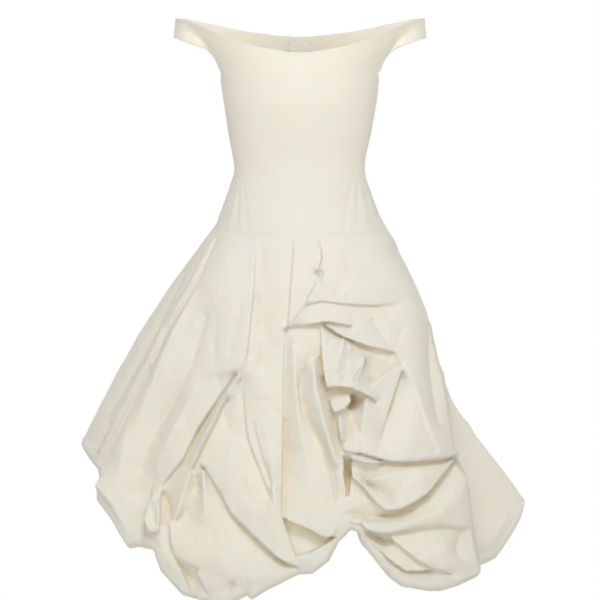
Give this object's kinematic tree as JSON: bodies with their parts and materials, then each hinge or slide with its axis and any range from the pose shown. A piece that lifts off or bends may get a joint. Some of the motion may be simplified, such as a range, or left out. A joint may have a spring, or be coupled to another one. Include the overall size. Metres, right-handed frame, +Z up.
{
  "type": "off-shoulder dress",
  "caption": "Off-shoulder dress with a princess-seamed bodice, a draped front panel and a full bubble-hem skirt with an asymmetric hem, hollow as worn",
  "frame": {"origin": "centre of the waist opening, on the middle line of the body, where the wearer's waist holds the dress", "axes": "+Z up along the body, front of the dress faces -Y, the wearer's left is +X"},
  "size_m": [0.8831, 0.5208, 1.1706],
  "materials": {
    "cloth": "crisp cream cotton taffeta, matt with a faint sheen",
    "label_tape": "smooth cream woven tape, blank",
    "zip_tape": "fine woven cream tape",
    "zip_metal": "pale lacquered metal"
  },
  "bodies": {
    "dress": {"bodice_front": "cloth", "bodice_side_front_right": "cloth", "bodice_side_front_left": "cloth", "bodice_side_back_right": "cloth", "bodice_side_back_left": "cloth", "bodice_back_right": "cloth", "bodice_back_left": "cloth", "skirt_front_right": "cloth", "skirt_front_centre": "cloth", "skirt_drape_left": "cloth", "skirt_tail_left": "cloth", "skirt_back_left": "cloth", "skirt_back_right": "cloth", "label": "label_tape", "zip_tape": "zip_tape", "zip_slider": "zip_metal"},
    "pull_tab": {"zip_pull_tab": "zip_metal"}
  },
  "joints": [
    {"name": "zip_tab_hinge", "type": "hinge", "parent": "dress", "child": "pull_tab", "pos_m": [0, 0.104, 0.25], "axis": [1, 0, 0], "range_deg": [0, 140]}
  ]
}
